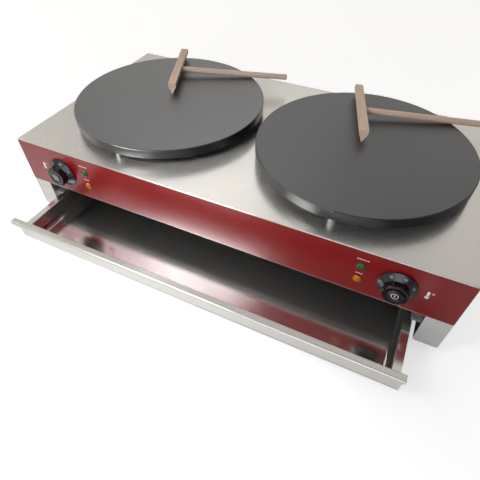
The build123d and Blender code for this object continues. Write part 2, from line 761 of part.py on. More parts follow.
# ---------------------------------------------------------------- drawer runners
# A channel of folded sheet on the inner wall of each side box. The drawer's flange lies on the
# lower ledge, and the upper ledge stops it tipping when it is drawn out.
drawer_flange_z = deck_z - drawer_flange_drop
lower_ledge_z = drawer_flange_z - drawer_sheet - runner_play
upper_ledge_z = drawer_flange_z + runner_headroom
runner_front_y = front_y + runner_setback
runner_back_y = rear_panel_y - runner_back_gap
with BuildPart() as runner_right:
    with BuildSketch(upright(runner_front_y)):
        with BuildLine():
            Polyline(
                (bay_half_width - runner_lower_ledge, lower_ledge_z),
                (bay_half_width - runner_sheet, lower_ledge_z),
                (bay_half_width - runner_sheet, upper_ledge_z),
                (bay_half_width - runner_upper_ledge, upper_ledge_z),
                (bay_half_width - runner_upper_ledge, upper_ledge_z + runner_sheet),
                (bay_half_width, upper_ledge_z + runner_sheet),
                (bay_half_width, lower_ledge_z - runner_sheet),
                (bay_half_width - runner_lower_ledge, lower_ledge_z - runner_sheet),
                close=True,
            )
        make_face()
    extrude(amount=-(runner_back_y - runner_front_y))
pieces["runner_right"] = runner_right

with BuildPart() as runner_left:
    mirror(runner_right.part, about=Plane.YZ)
pieces["runner_left"] = runner_left

# ---------------------------------------------------------------- drawer
# The tray is a pan with flanges on three sides that run in the channels. Its front is one sheet
# folded over forwards at the top to make the grip.
drawer_face_y = front_y + drawer_closed_face - drawer_open
drawer_front_back_y = drawer_face_y + drawer_front_sheet
drawer_top_z = deck_z - drawer_front_drop
tray_floor_z = drawer_flange_z - drawer_sheet - drawer_inner_depth
tray_bottom_z = tray_floor_z - drawer_sheet
tray_middle_y = drawer_front_back_y + drawer_length / 2
drawer_outer_width = bay_width - 2 * drawer_flange_gap
drawer_inner_width = drawer_outer_width - 2 * drawer_flange_width
drawer_front_width = bay_width - 2 * drawer_front_gap
with BuildPart() as drawer_tray:
    with BuildSketch(Plane.XY.offset(tray_bottom_z)):
        with Locations((0, tray_middle_y)):
            Rectangle(drawer_inner_width + 2 * drawer_sheet, drawer_length)
    extrude(amount=drawer_flange_z - tray_bottom_z)
    fillet(drawer_tray.faces().sort_by(Axis.Z)[0].edges(), drawer_bend_radius)
    offset(amount=-drawer_sheet, openings=drawer_tray.faces().sort_by(Axis.Z)[-1])
    with BuildSketch(Plane.XY.offset(drawer_flange_z - drawer_sheet)):
        with Locations((0, drawer_front_back_y)):
            Rectangle(
                drawer_outer_width, drawer_length + drawer_flange_width, align=(Align.CENTER, Align.MIN)
            )
        with Locations((0, tray_middle_y)):
            Rectangle(drawer_inner_width, drawer_length - 2 * drawer_sheet, mode=Mode.SUBTRACT)
    extrude(amount=drawer_sheet)
    flange_bends = (
        drawer_tray.edges()
        .filter_by(Axis.Y)
        .filter_by_position(Axis.Z, drawer_flange_z, drawer_flange_z)
        .filter_by(lambda edge: abs(edge.center().X) < drawer_inner_width / 2 + fit_gap)
    )
    fillet(flange_bends, drawer_flange_radius)
pieces["drawer_tray"] = drawer_tray

with BuildPart() as drawer_front:
    with BuildSketch(Plane.YZ):
        with BuildLine():
            FilletPolyline(
                (drawer_front_back_y + drawer_bend_radius + drawer_front_return, tray_bottom_z),
                (drawer_front_back_y, tray_bottom_z),
                (drawer_front_back_y, drawer_top_z),
                (drawer_face_y - drawer_lip_depth, drawer_top_z),
                (drawer_face_y - drawer_lip_depth, drawer_top_z - drawer_lip_height),
                radius=(drawer_bend_radius, bend_radius, bend_radius + drawer_front_sheet / 2),
            )
            offset(amount=drawer_front_sheet, side=Side.LEFT)
        make_face()
    extrude(amount=drawer_front_width / 2, both=True)
    fillet(
        drawer_front.edges()
        .filter_by(Axis.Y)
        .filter_by(lambda edge: edge.center().Y < drawer_face_y and edge.length < 2 * drawer_front_sheet),
        drawer_lip_corner,
    )
pieces["drawer_front"] = drawer_front

# ---------------------------------------------------------------- wooden spreaders
# A bar with a scraping edge, and a dowel let into its side. The tool lies tilted, its edge on the
# plate and its handle across the plate's rim.
spreader_places = {
    "left": (spreader_left_x, spreader_left_y, spreader_left_angle),
    "right": (spreader_right_x, spreader_right_y, spreader_right_angle),
}
for name, (offset_x, offset_y, angle) in spreader_places.items():
    centre_x, centre_y = plate_centres[name]
    along = Vector(cos(radians(angle)), sin(radians(angle)), 0)
    across = Vector(sin(radians(angle)), -cos(radians(angle)), 0)
    middle = Vector(offset_x, offset_y, 0) + along * (spreader_head_length / 2)
    run = -middle.dot(across) + sqrt(plate_radius**2 - middle.length**2 + middle.dot(across) ** 2)
    tilt = asin((spreader_handle_height - spreader_handle_radius - spreader_lift) / run)
    handle_axis = across * cos(tilt) + Vector(0, 0, -sin(tilt))
    foot_point = Vector(centre_x + offset_x, centre_y + offset_y, plate_top_z + spreader_lift)
    head_plane = Plane(foot_point, x_dir=handle_axis, z_dir=-along)
    with BuildPart() as spreader_head:
        with BuildSketch(head_plane):
            with BuildLine():
                Polyline(
                    (-spreader_edge_width / 2, 0),
                    (spreader_edge_width / 2, 0),
                    (spreader_head_width / 2, spreader_head_height - spreader_shoulder),
                    (spreader_head_width / 2, spreader_head_height),
                    (-spreader_head_width / 2, spreader_head_height),
                    (-spreader_head_width / 2, spreader_head_height - spreader_shoulder),
                    close=True,
                )
            make_face()
        extrude(amount=-spreader_head_length)
        socket_origin = (
            foot_point
            + along * (spreader_head_length / 2)
            + head_plane.y_dir * spreader_handle_height
            + handle_axis * (spreader_head_width / 2)
        )
        handle_plane = Plane(socket_origin, x_dir=along, z_dir=handle_axis)
        with BuildSketch(handle_plane):
            Circle(spreader_handle_radius + spindle_clearance)
        extrude(amount=-spreader_socket_depth, mode=Mode.SUBTRACT)
    pieces[f"spreader_head_{name}"] = spreader_head

    with BuildPart() as spreader_handle:
        with BuildSketch(handle_plane.offset(-spreader_socket_depth)):
            Circle(spreader_handle_radius)
        extrude(amount=spreader_socket_depth + spreader_handle_length)
        fillet(spreader_handle.faces().sort_by(Axis(socket_origin, handle_axis))[-1].edges(), 2)
    pieces[f"spreader_handle_{name}"] = spreader_handle

# ---------------------------------------------------------------- write the pieces
for name, piece in pieces.items():
    piece.part.label = name
    export_step(piece.part, f"parts/{name}.step")
print(len(pieces), "nodes")
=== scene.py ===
# %% [markdown]
# # Dressing an electric crepe maker
# A double crepe maker is a low stainless housing with two cast iron plates, a red front, a drawer
# and two wooden spreaders. The solids come from the frame and stay where they are. The cells below
# light them, give each surface the finish of the real one, and add the small pieces that are
# printed, moulded or pressed on.

# %% Load the frame
from math import cos, pi, radians, sin, tan

import bmesh
import bpy
from mathutils import Matrix, Vector


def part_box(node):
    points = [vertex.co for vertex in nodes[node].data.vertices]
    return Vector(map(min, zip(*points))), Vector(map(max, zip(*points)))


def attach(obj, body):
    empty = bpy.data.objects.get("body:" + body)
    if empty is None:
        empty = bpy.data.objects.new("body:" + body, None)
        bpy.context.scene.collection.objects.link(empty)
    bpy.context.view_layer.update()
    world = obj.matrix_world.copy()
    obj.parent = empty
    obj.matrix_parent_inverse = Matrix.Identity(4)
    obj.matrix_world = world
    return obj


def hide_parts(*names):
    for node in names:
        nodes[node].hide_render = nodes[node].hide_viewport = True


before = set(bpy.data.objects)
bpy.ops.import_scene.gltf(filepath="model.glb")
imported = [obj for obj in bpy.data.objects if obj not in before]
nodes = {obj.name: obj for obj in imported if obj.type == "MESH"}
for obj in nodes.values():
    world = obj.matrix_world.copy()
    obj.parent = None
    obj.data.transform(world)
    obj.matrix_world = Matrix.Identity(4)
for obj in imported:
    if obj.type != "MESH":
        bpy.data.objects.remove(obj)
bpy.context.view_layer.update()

MM = 0.001
SIDES = {"left": -1, "right": 1}

# %% [markdown]
# ## Where things are
# Nothing is measured twice. The faces that the later cells build on are read from the boxes of the
# nodes, so a changed size in the frame moves the printed marks and small pieces with it.

# %% Faces and centres
front_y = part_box("front_fascia")[0].y
deck_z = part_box("top_deck")[1].z
plate_boxes = {name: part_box(f"griddle_plate_{name}") for name in SIDES}
knob_boxes = {name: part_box(f"knob_{name}") for name in SIDES}


def centre(box):
    """The middle of a node's box."""
    return (box[0] + box[1]) / 2


knob_centres = {name: centre(knob_boxes[name]) for name in SIDES}
print("front at", round(front_y, 4), "deck at", round(deck_z, 4))

# %% [markdown]
# ## Camera
# The machine is seen from the front right and well above, so that the plates, the red front and
# the inside of the open drawer all show. The lens is a little wide, which makes the near corner of
# the drawer large and the far ends of the plates small.

# %% Camera
CAMERA_PLACE = (0.2732, -0.6225, 0.6409)
CAMERA_TURN = 25.40  # degrees to the left of straight on
CAMERA_DIP = 47.01  # degrees below level
LENS, SENSOR_WIDTH = 29.98, 36  # mm

camera_data = bpy.data.cameras.new("camera")
camera_data.sensor_width = SENSOR_WIDTH
camera_data.lens = LENS
camera = bpy.data.objects.new("camera", camera_data)
camera.location = CAMERA_PLACE
camera.rotation_euler = (radians(90 - CAMERA_DIP), 0, radians(CAMERA_TURN))
bpy.context.scene.collection.objects.link(camera)
bpy.context.scene.camera = camera
bpy.context.scene.view_settings.view_transform = "Standard"
print("camera at", CAMERA_PLACE)

# %% [markdown]
# ## Node helpers
# A material is a small graph. One function adds a node with its settings and its links, and one
# turns the hex colours that people write down into the linear values that the renderer wants. A
# Mix node has its inputs by number: 0 is the share, 2 and 3 are two values, and 6 and 7 are two
# colours, which come out mixed at output 2.

# %% Node helpers


def linear(hex_colour):
    """An sRGB hex colour as linear red, green, blue and alpha."""
    channels = [int(hex_colour[i : i + 2], 16) / 255 for i in (1, 3, 5)]
    return [c / 12.92 if c <= 0.04045 else ((c + 0.055) / 1.055) ** 2.4 for c in channels] + [1]


def add(owner, kind, inputs=None, **settings):
    """Adds a node to a material or the world. An input is a plain value or a node's output."""
    node = owner.node_tree.nodes.new("ShaderNode" + kind)
    for name, value in settings.items():
        setattr(node, name, value)
    for name, value in (inputs or {}).items():
        if isinstance(value, bpy.types.NodeSocket):
            owner.node_tree.links.new(value, node.inputs[name])
        else:
            node.inputs[name].default_value = value
    return node


def new_finish(name, settings):
    """A material with one Principled shader, returned with that shader."""
    material = bpy.data.materials.new(name)
    material.use_nodes = True
    material.node_tree.nodes.clear()
    shader = add(material, "BsdfPrincipled", settings)
    add(material, "OutputMaterial", {"Surface": shader.outputs[0]})
    return material, shader


def link(material, output, shader, socket):
    """Feeds an output into one of the shader's sockets."""
    material.node_tree.links.new(output, shader.inputs[socket])


# %% [markdown]
# ## Room
# Steel shows the room more than itself, so the room is designed first. It is pale at eye level and
# greyer overhead, which gives a brushed sheet its slow change from light to grey. There is less of
# its light in front than behind, and a dark wall on the right, so that the steel has a light and a
# dark end. The eye sees plain white instead, by Light Path and not by more light on the machine.

# %% Room
ROOM = (  # the sine of the height above level, and the shade there
    (-1.0, "#D9D4CC"),
    (0.0, "#E6E2DC"),
    (0.5, "#E2DFDA"),
    (0.72, "#D3D0CC"),
    (0.88, "#BDBBB8"),
    (1.0, "#A9A7A5"),
)
ROOM_CHANGES = (  # along what, from where to where, the share of light at each, and the curve
    ((1.0, 0.1, 0.0), (0.3, 0.55), (1.0, 0.22), "SMOOTHSTEP"),  # the dark wall on the right
    ((1.0, 0.0, 0.0), (-0.6, 0.1), (1.0, 1.25), "LINEAR"),  # more light from left to middle
    ((0.0, 1.0, 0.0), (-0.3, 0.3), (0.4, 1.0), "SMOOTHSTEP"),  # and more from front to back
)


def seen_rays(owner, path):
    """1 for the rays that the eye sees by, straight or through clear plastic."""
    kinds = {0: path.outputs["Is Camera Ray"], 1: path.outputs["Is Transmission Ray"]}
    return add(owner, "Math", kinds, use_clamp=True).outputs[0]


def room_shades(world, height):
    """The colour of the room's light, by height."""
    share = add(world, "MapRange", {"Value": height, "From Min": -1.0, "From Max": 1.0})
    walls = add(world, "ValToRGB", {"Fac": share.outputs[0]})
    ramp = walls.color_ramp.elements
    while len(ramp) < len(ROOM):
        ramp.new(0.5)
    for stop, (sine, colour) in zip(ramp, ROOM):
        stop.position = (sine + 1) / 2
    for stop, (sine, colour) in zip(ramp, ROOM):
        stop.color = linear(colour)
    return walls.outputs[0]


def room_level(world, way):
    """How strong the room's light is, by direction."""
    level = 1.0
    for along, (start, end), (low, high), curve in ROOM_CHANGES:
        reach = add(world, "VectorMath", {0: way, 1: along}, operation="DOT_PRODUCT")
        inputs = {"Value": reach.outputs["Value"], "From Min": start, "From Max": end}
        inputs |= {"To Min": low, "To Max": high}
        share = add(world, "MapRange", inputs, interpolation_type=curve)
        product = add(world, "Math", {0: level, 1: share.outputs[0]}, operation="MULTIPLY")
        level = product.outputs[0]
    return level


def room():
    """The world: the room for surfaces, and white for the eye."""
    world = bpy.data.worlds.new("studio")
    world.use_nodes = True
    world.node_tree.nodes.clear()
    way = add(world, "TexCoord").outputs["Object"]
    height = add(world, "SeparateXYZ", {"Vector": way}).outputs["Z"]
    light = {"Color": room_shades(world, height), "Strength": room_level(world, way)}
    studio = add(world, "Background", light)
    backdrop = add(world, "Background", {"Color": (1, 1, 1, 1), "Strength": 1.0})
    seen = seen_rays(world, add(world, "LightPath"))
    mixed = add(world, "MixShader", {0: seen, 1: studio.outputs[0], 2: backdrop.outputs[0]})
    add(world, "OutputWorld", {"Surface": mixed.outputs[0]})
    bpy.context.scene.world = world


room()
print("room with", len(ROOM), "shades")

# %% [markdown]
# ## Floor
# The floor is a large sheet of white paper. To the eye a glow lifts it to white, and the machine's
# shadow stays on it. Steel would mirror so much white as a flat glare, so what metal sees of the
# paper is painted: a white glow of painted light on the left, painted shade in grey on the right,
# and some glow again past the right end. In front of the machine, under the open drawer, it glows
# all over, a painted reflection that brightens the drawer's front.

# %% Floor
FLOOR_HALF_SIZE = 4.0
# The grey below is painted shade and the glow in metal is painted light; only metal sees them.
FLOOR_PAPER, FLOOR_SHADE_IN_METAL = "#E8E8E8", "#505050"
FLOOR_GLOW, FLOOR_GLOW_IN_METAL = 0.55, 0.28
FLOOR_LIGHT_IN_METAL = {  # axis, from where to where in metres, the share of white at each, and the curve
    "left": ("X", (-0.4, 0.15), (1.0, 0.0), "SMOOTHSTEP"),
    "right": ("X", (0.36, 0.5), (0.0, 0.55), "SMOOTHSTEP"),
    "front": ("Y", (-0.29, -0.305), (0.0, 1.0), "LINEAR"),
    "front end": ("X", (0.41, 0.43), (1.0, 0.0), "LINEAR"),
}


def metal_light_share(material):
    """The share of painted light, against painted shade, in what metal sees of the floor, by place.
    """
    place = add(material, "TexCoord")
    across = add(material, "SeparateXYZ", {"Vector": place.outputs["Object"]})
    white = {}
    for part, (axis, (start, end), (low, high), curve) in FLOOR_LIGHT_IN_METAL.items():
        inputs = {"Value": across.outputs[axis], "From Min": start, "From Max": end}
        inputs |= {"To Min": low, "To Max": high}
        white[part] = add(material, "MapRange", inputs, interpolation_type=curve).outputs[0]
    front = add(material, "Math", {0: white["front"], 1: white["front end"]}, operation="MULTIPLY")
    sides = add(material, "Math", {0: white["left"], 1: white["right"]}, operation="MAXIMUM")
    both = {0: sides.outputs[0], 1: front.outputs[0]}
    return add(material, "Math", both, operation="MAXIMUM").outputs[0]


def floor_paper():
    """White paper that glows for the eye, and for metal with painted light and shade, lighting
    nothing else.
    """
    material, shader = new_finish("White paper floor", {"Roughness": 0.9})
    path = add(material, "LightPath")
    seen, mirrored = seen_rays(material, path), path.outputs["Is Glossy Ray"]
    white = metal_light_share(material)
    glow = add(material, "Math", {0: seen, 1: FLOOR_GLOW}, operation="MULTIPLY")
    level = add(material, "Math", {0: white, 1: FLOOR_GLOW_IN_METAL}, operation="MULTIPLY")
    gloss = add(material, "Math", {0: mirrored, 1: level.outputs[0]}, operation="MULTIPLY")
    strength = add(material, "Math", {0: glow.outputs[0], 1: gloss.outputs[0]})
    shader.inputs["Emission Color"].default_value = (1, 1, 1, 1)
    link(material, strength.outputs[0], shader, "Emission Strength")

    # Where metal sees less painted light, the paper it mirrors turns to painted shade in grey.
    shades = {0: white, 6: linear(FLOOR_SHADE_IN_METAL), 7: linear(FLOOR_PAPER)}
    grey = add(material, "Mix", shades, data_type="RGBA")
    shades = {0: mirrored, 6: linear(FLOOR_PAPER), 7: grey.outputs[2]}
    paper = add(material, "Mix", shades, data_type="RGBA")
    link(material, paper.outputs[2], shader, "Base Color")
    return material


mesh = bmesh.new()
bmesh.ops.create_grid(mesh, x_segments=1, y_segments=1, size=FLOOR_HALF_SIZE)
data = bpy.data.meshes.new("floor")
mesh.to_mesh(data)
mesh.free()
data.materials.append(floor_paper())
floor = bpy.data.objects.new("floor", data)
bpy.context.scene.collection.objects.link(floor)
print("floor", 2 * FLOOR_HALF_SIZE, "metres wide")

# %% [markdown]
# ## Lamps
# Each lamp is a soft rectangle, as a studio has. Four large ones stand around the machine. The one
# in front is the brightest of them, because the red front and the knobs live on its light. Two
# small lamps make the glints on the front and the drawer. They hang so near that the plates would
# catch them too, so each has a grid, which keeps its light to a cone. The strength is given as the
# brightness that metal mirrors, and the power follows from it and from the lamp's area.

# %% Lamps
LAMPS = {  # in metres place, aim and size, then brightness, colour and the grid's cone in degrees
    "back softbox": ((-1.5, 2.6, 3.1), (0, 0, 0.2), (2.3, 1.5), 0.75),
    "left softbox": ((-2.6, -0.5, 1.6), (0, 0, 0.1), (1.8, 1.4), 1.3),
    "right softbox": ((1.3, -1.5, 1.6), (0, -0.1, 0.1), (0.5, 0.5), 0.8),
    "front softbox": ((0.25, -2.4, 0.75), (0, 0, 0.15), (1.5, 0.8), 4.0, "#EEF3FF"),
    "small lamp by the camera": (
        (-0.33, -0.66, 0.66), (-0.04, -0.18, 0.1), (0.4, 0.4), 17.5, "#FFFFFF", 62
    ),
    "small lamp at the left end": (
        (-0.6, -0.45, 0.55), (-0.42, -0.18, 0.08), (0.3, 0.3), 9.0, "#FFFFFF", 50
    ),
}


def softbox(name, place, aim, size, brightness, colour="#FFFFFF", grid=None):
    """A rectangular lamp that faces a point. A grid keeps its light to a cone, in degrees."""
    data = bpy.data.lights.new(name, "AREA")
    data.shape = "RECTANGLE"
    data.size, data.size_y = size
    data.energy = brightness * pi * size[0] * size[1]
    if grid:
        half = radians(grid) / 2
        data.spread = 2 * half
        data.energy *= 1 - half / tan(half)  # a cone packs the same power tighter, so take some off
    data.color = linear(colour)[:3]
    light = bpy.data.objects.new(name, data)
    light.location = place
    light.rotation_euler = (Vector(aim) - Vector(place)).to_track_quat("-Z", "Y").to_euler()
    light.visible_camera = False
    bpy.context.scene.collection.objects.link(light)
    print(name, round(data.energy, 1), "watts")


for name, settings in LAMPS.items():
    softbox(name, *settings)

# %% [markdown]
# ## Brushed stainless steel
# The sheets are stainless steel rubbed with a fine belt, which leaves scratches in one direction.
# Light on them spreads across the scratches into long bands, and the shader's anisotropy gives
# those. The scratches are 0.03 mm wide, too fine to show, and are drawn that fine on purpose. Each
# pixel then holds some smooth and some torn ones, which together mirror a lamp as a soft core with
# a wide glow around it, as the real sheet does. What the eye takes for brush lines are faint
# streaks of colour, which are drawn coarser, at 2 mm, so that they show.

# %% Brushed stainless steel
SCRATCH = (0.03 * MM, 3 * MM)  # width and length
SCRATCH_DEPTH = 0.004 * MM
TORN_EDGE = (0.505, 0.555)  # the noise at which a smooth scratch turns into a torn one
STREAK = (2.0 * MM, 160 * MM)
STREAK_COLOUR = "#D8D6D2"


def drawn_noise(material, direction, size, detail):
    """Noise drawn out along one axis of the frame, in lines of a width and length."""
    width, length = size
    place = add(material, "TexCoord")
    pitch = [1 / (length if axis else width) for axis in direction]
    drawn = add(material, "Mapping", {"Vector": place.outputs["Object"], "Scale": pitch})
    inputs = {"Vector": drawn.outputs[0], "Scale": 1.0, "Detail": detail}
    return add(material, "TexNoise", inputs).outputs["Fac"]


def brushed_steel(name, direction, colour="#CFCBC5", roughness=(0.19, 0.46), anisotropy=0.9):
    """Steel with scratches along one axis. roughness is that of smooth ones and of torn ones."""
    material, shader = new_finish(name, {"Metallic": 1.0, "Anisotropic": anisotropy})
    scratches = drawn_noise(material, direction, SCRATCH, 3.0)
    inputs = {"Value": scratches, "From Min": TORN_EDGE[0], "From Max": TORN_EDGE[1]}
    inputs |= {"To Min": roughness[0], "To Max": roughness[1]}
    spread = add(material, "MapRange", inputs)
    link(material, spread.outputs[0], shader, "Roughness")

    streaks = drawn_noise(material, direction, STREAK, 2.0)
    shades = {0: streaks, 6: linear(colour), 7: linear(STREAK_COLOUR)}
    tint = add(material, "Mix", shades, data_type="RGBA")
    link(material, tint.outputs[2], shader, "Base Color")

    relief = {"Height": scratches, "Strength": 0.05, "Distance": SCRATCH_DEPTH}
    grain = add(material, "Bump", relief)
    link(material, grain.outputs[0], shader, "Normal")

    surface = add(material, "NewGeometry")
    belt = add(material, "CombineXYZ", dict(zip("XYZ", direction)))
    ways = {0: belt.outputs[0], 1: surface.outputs["Normal"]}
    across = add(material, "VectorMath", ways, operation="CROSS_PRODUCT")
    link(material, across.outputs[0], shader, "Tangent")
    return material


# %% Steel sheets
ALONG_X, ALONG_Y, ACROSS_X = (1.0, 0.0, 0.0), (0.0, 1.0, 0.0), (0.0, 1.0, 1.0)
STEEL_SHEETS = {  # the way the scratches run, what differs in the steel, and the nodes cut from it
    "Brushed stainless deck": (ALONG_X, {}, ("top_deck",)),
    "Brushed stainless front": (
        ALONG_X, {"colour": "#F0EDE8", "roughness": (0.4, 0.6)}, ("front_panel", "back_panel")
    ),
    "Brushed stainless sides": (
        ALONG_Y, {"roughness": (0.3, 0.5)}, ("side_panel_left", "side_panel_right")
    ),
    "Plain stainless sheet": (
        ALONG_Y,
        {"colour": "#C2C2C2", "roughness": (0.55, 0.65), "anisotropy": 0.0},
        ("runner_left", "runner_right"),
    ),
    # The base is greyer than the same plain sheet on the runners: painted shade for the dark under
    # the deck that the drawer's tray mirrors.
    "Plain stainless base": (
        ALONG_X,
        {"colour": "#8C8C8C", "roughness": (0.5, 0.6), "anisotropy": 0.0},
        ("base_plate",),
    ),
    "Brushed stainless drawer front": (
        ACROSS_X,
        {"colour": "#D6D3CD", "roughness": (0.14, 0.3), "anisotropy": 0.3},
        ("drawer_front",),
    ),
}


def dress(material, *names):
    """Gives CAD nodes a finish in place of the plain one they came with."""
    for name in names:
        data = nodes[name].data
        data.materials.clear()
        data.materials.append(material)
    print(material.name, "on", ", ".join(names))


for name, (direction, settings, sheets) in STEEL_SHEETS.items():
    dress(brushed_steel(name, direction, **settings), *sheets)

# %% [markdown]
# ## Smooth metals
# The drawer's tray is pressed from bright annealed sheet, which leaves the mill almost like a
# mirror. A trace of waviness breaks up what it shows. Screws, bolts, nuts and spindles are plated,
# bright as well, but so small that a plain gloss is all one sees. The spacers under the plates are
# turned steel in a darker grey. Patches of haze, some 70 mm across, keep them all from looking
# new. The same function later makes the metals of the heaters.

# %% Smooth metals
HAZE_SIZE = 1 / 14  # metres
HAZE_COLOUR = "#D6D5D3"
HAZE_SPAN = (0.7, 1.4)  # the least and the most, as shares of the metal's roughness


def even_noise(material, size, detail=2.0):
    """Noise with flecks of one real size, in metres."""
    place = add(material, "TexCoord")
    inputs = {"Vector": place.outputs["Object"], "Scale": 1 / size, "Detail": detail}
    return add(material, "TexNoise", inputs).outputs["Fac"]


def smooth_metal(name, colour, roughness, wave=0.0):
    """Polished, plated or drawn metal, slightly wavy where it is large."""
    material, shader = new_finish(name, {"Metallic": 1.0})
    haze = even_noise(material, HAZE_SIZE, 4.0)
    least, most = (share * roughness for share in HAZE_SPAN)
    spread = add(material, "MapRange", {"Value": haze, "To Min": least, "To Max": most})
    link(material, spread.outputs[0], shader, "Roughness")
    shades = {0: haze, 6: linear(colour), 7: linear(HAZE_COLOUR)}
    tint = add(material, "Mix", shades, data_type="RGBA")
    link(material, tint.outputs[2], shader, "Base Color")
    if wave:
        swell = add(material, "Bump", {"Height": haze, "Strength": 1.0, "Distance": wave})
        link(material, swell.outputs[0], shader, "Normal")
    return material


screws = ("base_screws", "back_screws", "foot_screws", "plate_bolts")
fittings = ("thermostat_nuts", "spindle_left", "spindle_right", "cover_studs")
dress(smooth_metal("Bright annealed stainless", "#EAE9E8", 0.15, 0.02 * MM), "drawer_tray")
dress(smooth_metal("Turned steel", "#6E6E6C", 0.5), "plate_spacers")
dress(smooth_metal("Zinc plated steel", "#BFC2C4", 0.22), *screws)
dress(smooth_metal("Nickel plated steel", "#C9C6BE", 0.2), *fittings)

# %% [markdown]
# ## Red lacquer
# The front carries a thin plate sprayed with red lacquer and baked. The lacquer is smooth but not
# like glass: it lays a milky sheen over the red where the light is strong, and turns deep red
# where it is weak. A clear layer on the shader gives the sheen, and very fine noise keeps the
# surface from looking like paper.

# %% Red lacquer
FLECK_SIZE, PEEL_DEPTH = 0.8 * MM, 0.01 * MM
CLEAR_LAYER = {"Coat Weight": 1.0, "Coat Roughness": 0.23, "Coat IOR": 1.6}


def red_lacquer():
    """Baked red lacquer on sheet metal."""
    base = {"IOR": 1.5, "Specular IOR Level": 0.15, "Roughness": 0.42}
    material, shader = new_finish("Baked red lacquer", {**base, **CLEAR_LAYER})
    flecks = even_noise(material, FLECK_SIZE)
    shades = {0: flecks, 6: linear("#7C0003"), 7: linear("#840004")}
    tint = add(material, "Mix", shades, data_type="RGBA")
    link(material, tint.outputs[2], shader, "Base Color")
    peel = add(material, "Bump", {"Height": flecks, "Strength": 0.08, "Distance": PEEL_DEPTH})
    link(material, peel.outputs[0], shader, "Normal")
    return material


dress(red_lacquer(), "front_fascia")

# %% [markdown]
# ## Seasoned cast iron
# The plates are cast, turned flat, and seasoned with oil until they are dark grey. The oil leaves
# soft patches where the sheen changes, and the casting has small pores. The turning leaves rings
# about 0.5 mm apart, too fine to show here, so they are drawn 4.8 mm apart in a very low bump. The
# upright rim is wiped clean more often, so it is smoother than the top.

# %% Seasoned cast iron
RING_PITCH = 4.8 * MM
PORE_SIZE = 1.5 * MM
OIL_PATCH_SCALE = 9.0  # per metre, so patches some 110 mm across
IRON_RELIEF = 0.03 * MM
IRON_SATIN = (0.34, 0.42)  # roughness of the top, from patch to patch
RIM_COLOUR, RIM_ROUGHNESS = "#606061", 0.27
RIM_EDGE = (0.95, 0.4)  # how far a face looks up where the top ends, and where it is all rim
# Left plate lighter, right plate darker: painted light and shade, over the real oil patches.
IRON_PATCH_AND_LIGHT_TONES = {"left": ("#727374", "#7A7B7D"), "right": ("#5E5F61", "#656668")}


def seasoned_iron(name, middle, patch_and_light_tones):
    """Turned iron with rings about the plate's own middle, toned for painted light and shade."""
    material, shader = new_finish("Seasoned cast iron " + name, {"Metallic": 0.95})
    place = add(material, "TexCoord")
    shift = {"Vector": place.outputs["Object"], "Location": (-middle.x, -middle.y, 0)}
    centred = add(material, "Mapping", shift).outputs[0]
    wave = {"Vector": centred, "Scale": 2 * pi / 20 / RING_PITCH}  # 20 is built into the node
    wave |= {"Distortion": 0.4, "Detail": 2.0}
    rings = add(material, "TexWave", wave, wave_type="RINGS", rings_direction="Z")
    patch = {"Vector": centred, "Scale": OIL_PATCH_SCALE, "Detail": 5.0}
    patches = add(material, "TexNoise", patch).outputs["Fac"]
    pore = {"Vector": centred, "Scale": 1 / PORE_SIZE, "Detail": 3.0}
    pores = add(material, "TexNoise", pore).outputs["Fac"]

    surface = add(material, "NewGeometry")
    facing = add(material, "SeparateXYZ", {"Vector": surface.outputs["Normal"]}).outputs["Z"]
    edge = {"Value": facing, "From Min": RIM_EDGE[0], "From Max": RIM_EDGE[1]}
    rim = add(material, "MapRange", edge).outputs[0]
    shades = {0: patches, 6: linear(patch_and_light_tones[0]), 7: linear(patch_and_light_tones[1])}
    top = add(material, "Mix", shades, data_type="RGBA")
    shades = {0: rim, 6: top.outputs[2], 7: linear(RIM_COLOUR)}
    tint = add(material, "Mix", shades, data_type="RGBA")
    link(material, tint.outputs[2], shader, "Base Color")

    sheen = {"Value": patches, "To Min": IRON_SATIN[0], "To Max": IRON_SATIN[1]}
    satin = add(material, "MapRange", sheen).outputs[0]
    polish = add(material, "Mix", {0: rim, 2: satin, 3: RIM_ROUGHNESS}, data_type="FLOAT")
    link(material, polish.outputs[0], shader, "Roughness")
    height = add(material, "Math", {0: rings.outputs["Fac"], 1: pores}, operation="ADD")
    inputs = {"Height": height.outputs[0], "Strength": 0.1, "Distance": IRON_RELIEF}
    relief = add(material, "Bump", inputs)
    link(material, relief.outputs[0], shader, "Normal")
    return material


for name, patch_and_light_tones in IRON_PATCH_AND_LIGHT_TONES.items():
    dress(seasoned_iron(name, centre(plate_boxes[name]), patch_and_light_tones), f"griddle_plate_{name}")

# %% [markdown]
# ## Beech
# The spreaders are beech, planed, sanded and left bare, in a pale pinkish tan. The flecks of beech
# are well under a millimetre wide, too fine to show here, so they are drawn 1.6 mm wide, and long
# along each stick. Wider bands of a warmer tone run the same way. The pattern is turned to lie
# along its own stick, because the sticks lie askew on the plates.

# %% Beech
GRAIN = (45 * MM, 1.6 * MM, 1.6 * MM)  # length, width and depth of a fleck
BAND_SCALE = 0.18  # as many bands as flecks
GRAIN_DEPTH = 0.08 * MM
BEECH_TONES = ((0.3, "#C4A48C"), (0.65, "#E2CCBA"))  # noise and shade
BAND_COLOUR = "#DABDA6"


